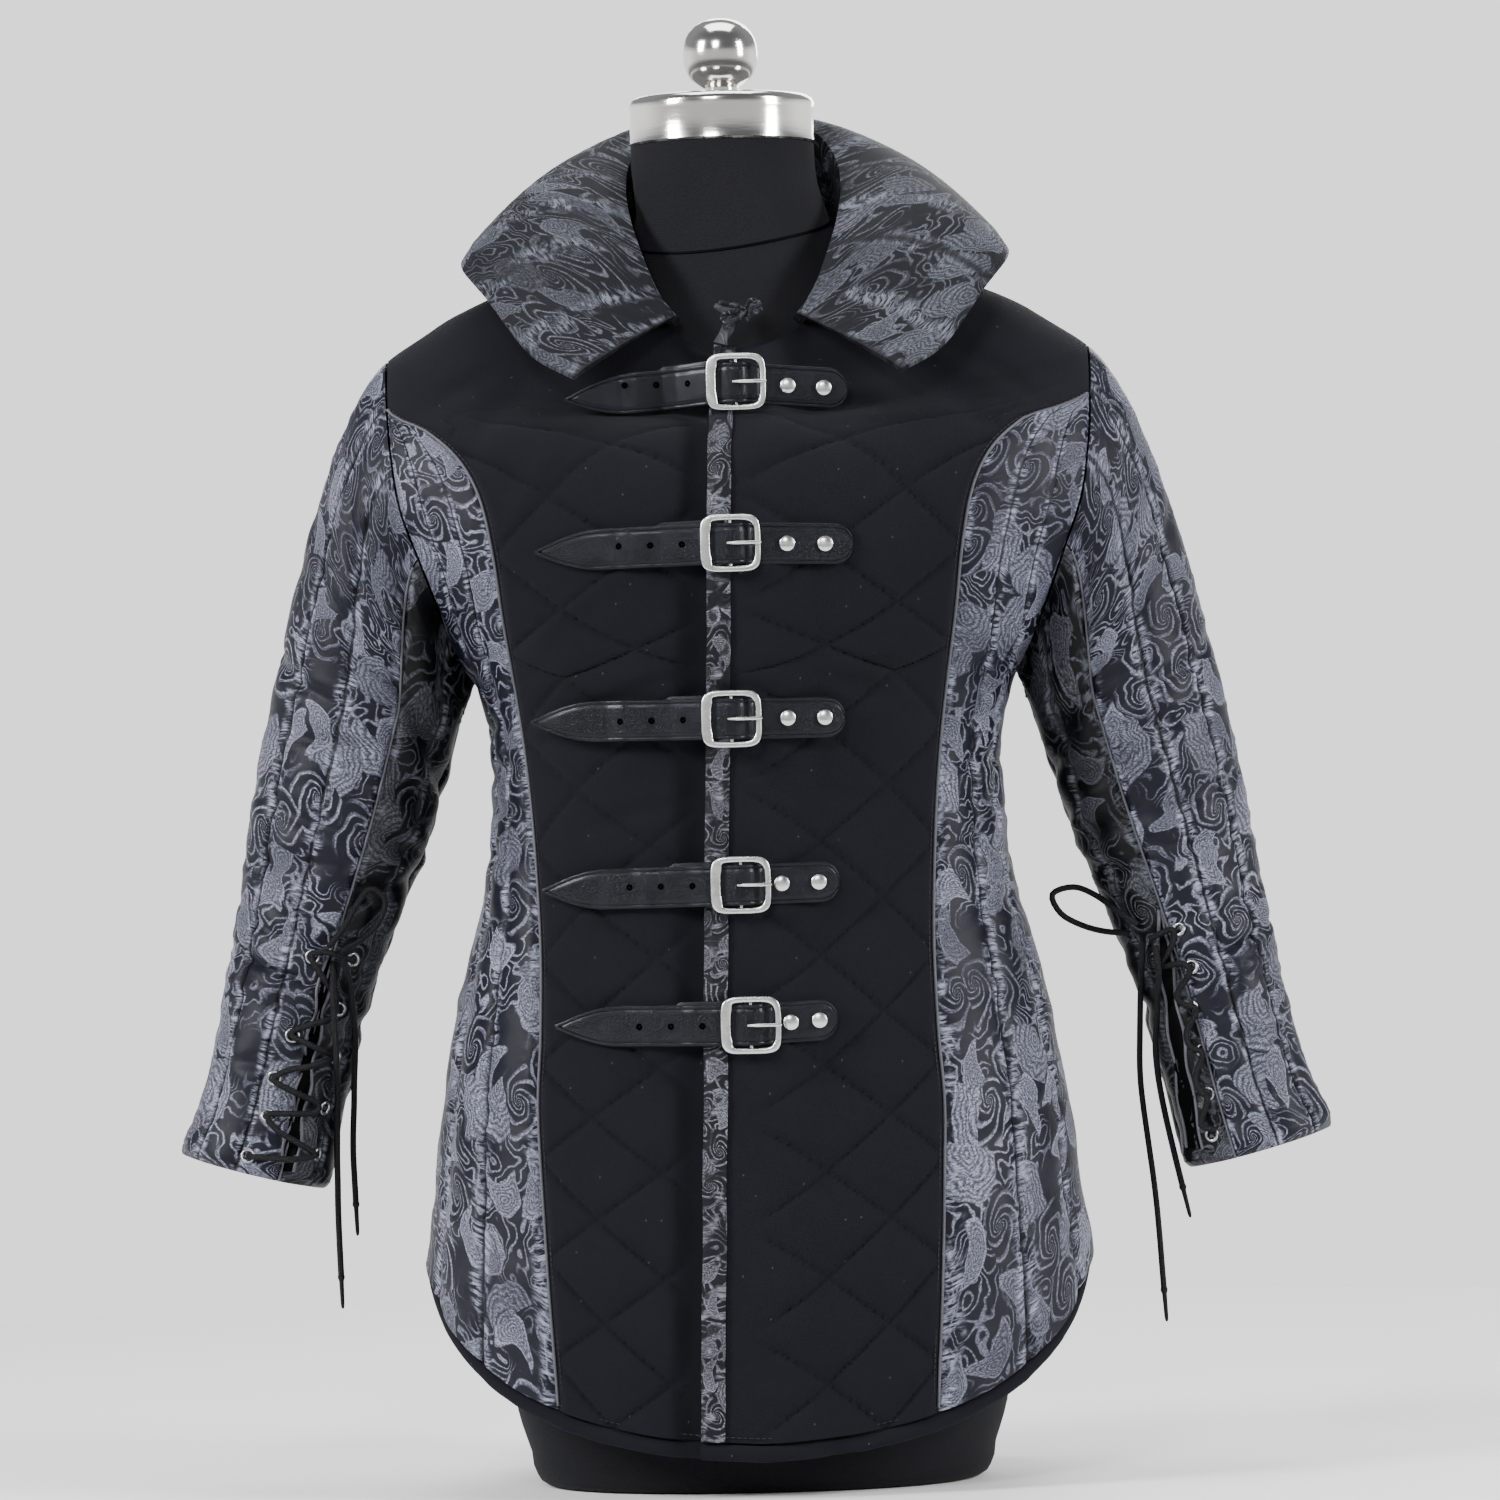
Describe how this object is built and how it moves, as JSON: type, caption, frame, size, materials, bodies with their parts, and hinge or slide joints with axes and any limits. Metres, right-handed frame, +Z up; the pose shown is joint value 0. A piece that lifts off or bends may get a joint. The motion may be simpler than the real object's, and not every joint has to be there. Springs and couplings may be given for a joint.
{
  "type": "gambeson on dress form",
  "caption": "Quilted, belted padded coat with a wide fold-over collar and laced sleeves, worn on a limbless dress form that stands on a flat base.",
  "frame": {"origin": "middle of the form's flat underside", "axes": "+Z up, -Y out of the coat's front, +X to the wearer's left"},
  "size_m": [0.807, 0.3292, 1.022],
  "materials": {
    "black_cotton": "matte black cotton, diamond quilted",
    "brocade": "silver-grey paisley brocade on black satin",
    "form_jersey": "matte black jersey",
    "chrome": "polished chrome",
    "leather": "smooth black leather",
    "steel": "nickel-plated steel",
    "lace": "round black woven lace"
  },
  "bodies": {
    "root": {"back": "black_cotton", "buckle_1": "steel", "buckle_2": "steel", "buckle_3": "steel", "buckle_4": "steel", "buckle_5": "steel", "chape_1": "leather", "chape_2": "leather", "chape_3": "leather", "chape_4": "leather", "chape_5": "leather", "collar": "brocade", "form_torso": "form_jersey", "front_edge_strip": "brocade", "front_left": "black_cotton", "front_right": "black_cotton", "hem_back": "black_cotton", "hem_front_l": "black_cotton", "hem_front_r": "black_cotton", "lace_end_l_a": "lace", "lace_end_l_b": "lace", "lace_end_r_a": "lace", "lace_end_r_b": "lace", "lace_loop_l": "lace", "lace_loop_r": "lace", "lacing_l": "lace", "lacing_r": "lace", "neck_cap": "chrome", "neck_knob": "chrome", "neck_tie": "brocade", "prong_1": "steel", "prong_2": "steel", "prong_3": "steel", "prong_4": "steel", "prong_5": "steel", "rivet_1_a": "steel", "rivet_1_b": "steel", "rivet_2_a": "steel", "rivet_2_b": "steel", "rivet_3_a": "steel", "rivet_3_b": "steel", "rivet_4_a": "steel", "rivet_4_b": "steel", "rivet_5_a": "steel", "rivet_5_b": "steel", "side_back_l": "brocade", "side_back_r": "brocade", "side_front_l": "brocade", "side_front_r": "brocade", "strap_1": "leather", "strap_2": "leather", "strap_3": "leather", "strap_4": "leather", "strap_5": "leather", "topsleeve_l": "brocade", "topsleeve_r": "brocade", "undersleeve_l": "brocade", "undersleeve_r": "brocade"}
  },
  "joints": []
}
